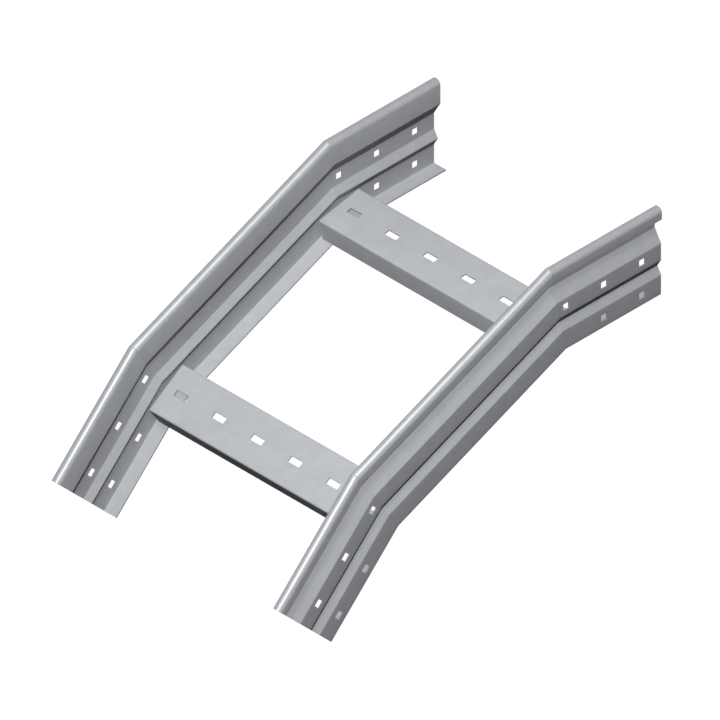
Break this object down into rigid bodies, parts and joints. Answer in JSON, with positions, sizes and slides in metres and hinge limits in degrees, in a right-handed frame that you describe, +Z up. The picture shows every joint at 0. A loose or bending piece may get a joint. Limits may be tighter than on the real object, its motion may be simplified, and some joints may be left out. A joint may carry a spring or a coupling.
{
  "type": "vertical cable tray bend",
  "caption": "Ladder-type cable tray bend that turns an overhead run downward in two mitres, with ribbed side rails, curled rims and slotted channel rungs.",
  "frame": {"origin": "midway between the two rails, on the plane of the flange undersides, at the open end of the horizontal length", "axes": "+Y out of the horizontal open end, along the run; +X across the tray; +Z up. The run goes toward -Y and turns down"},
  "size_m": [0.3024, 0.5032, 0.2788],
  "materials": {
    "galvanised_rail": "galvanised strip, satin",
    "galvanised_rung": "galvanised strip, satin",
    "galvanised_weld": "dressed weld under zinc, matt"
  },
  "bodies": {
    "root": {"left_rail_upper": "galvanised_rail", "left_rail_middle": "galvanised_rail", "left_rail_lower": "galvanised_rail", "right_rail_upper": "galvanised_rail", "right_rail_middle": "galvanised_rail", "right_rail_lower": "galvanised_rail", "upper_rung": "galvanised_rung", "lower_rung": "galvanised_rung", "left_upper_mitre_weld": "galvanised_weld", "left_lower_mitre_weld": "galvanised_weld", "right_upper_mitre_weld": "galvanised_weld", "right_lower_mitre_weld": "galvanised_weld", "upper_rung_weld_left_front": "galvanised_weld", "upper_rung_weld_left_back": "galvanised_weld", "upper_rung_weld_right_front": "galvanised_weld", "upper_rung_weld_right_back": "galvanised_weld", "lower_rung_weld_left_front": "galvanised_weld", "lower_rung_weld_left_back": "galvanised_weld", "lower_rung_weld_right_front": "galvanised_weld", "lower_rung_weld_right_back": "galvanised_weld"}
  },
  "joints": []
}
